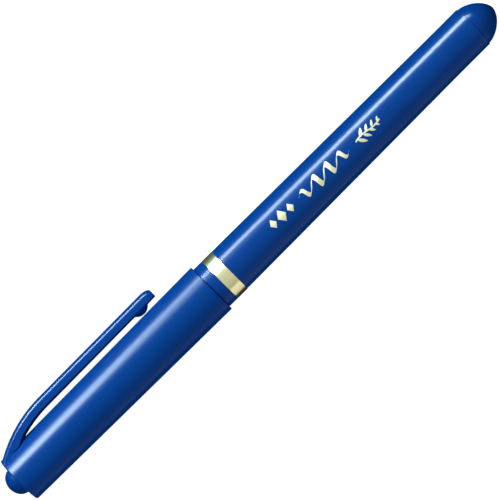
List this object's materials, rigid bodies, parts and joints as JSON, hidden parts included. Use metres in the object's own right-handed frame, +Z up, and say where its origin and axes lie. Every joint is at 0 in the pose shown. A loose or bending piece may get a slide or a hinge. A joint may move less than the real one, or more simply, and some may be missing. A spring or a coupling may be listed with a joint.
{
  "type": "capped marker",
  "caption": "Capped fibre-tip lettering marker: slim tapered barrel, gold trim ring, pull-off cap with a sprung pocket clip, chisel nib on an ink reservoir.",
  "frame": {"origin": "the middle of the bounding box's underside, where the pen lies on the rim of its cap and on the clip's edge", "axes": "+X along the pen from the cap's closed end towards the tail, +Y to the side that the clip points to, +Z up"},
  "size_m": [0.1364, 0.0146, 0.0116],
  "materials": {
    "blue_plastic": "smooth moulded, glossy",
    "button_plastic": "smooth moulded, glossy",
    "gold_trim": "brushed round, pale gold",
    "natural_plastic": "satin, milky",
    "nib_fibre": "fused fibre, ink-stained",
    "ink_fibre": "wadding soaked with ink"
  },
  "bodies": {
    "barrel": {"barrel": "blue_plastic", "tail_plug": "blue_plastic", "trim_ring": "gold_trim", "section": "blue_plastic", "nib_holder": "natural_plastic", "nib": "nib_fibre", "reservoir": "ink_fibre", "reservoir_film": "natural_plastic"},
    "inner_cap": {"inner_cap": "natural_plastic"},
    "cap": {"cap_shell": "blue_plastic", "cap_button": "button_plastic"},
    "clip": {"clip": "blue_plastic"}
  },
  "joints": [
    {"name": "cap_pull", "type": "slide", "parent": "barrel", "child": "inner_cap", "axis": [-1, 0, 0], "range_m": [0, 0.046]},
    {"name": "cap_turn", "type": "hinge", "parent": "inner_cap", "child": "cap", "pos_m": [-0.04, -0.00147, 0.00582], "axis": [1, 0, 0], "continuous": true},
    {"name": "clip_flex", "type": "hinge", "parent": "cap", "child": "clip", "pos_m": [-0.06075, 0.00426, 0.00346], "axis": [0, 0.381, 0.9246], "range_deg": [0, 4], "stiffness_Nm_per_rad": 0.5}
  ]
}
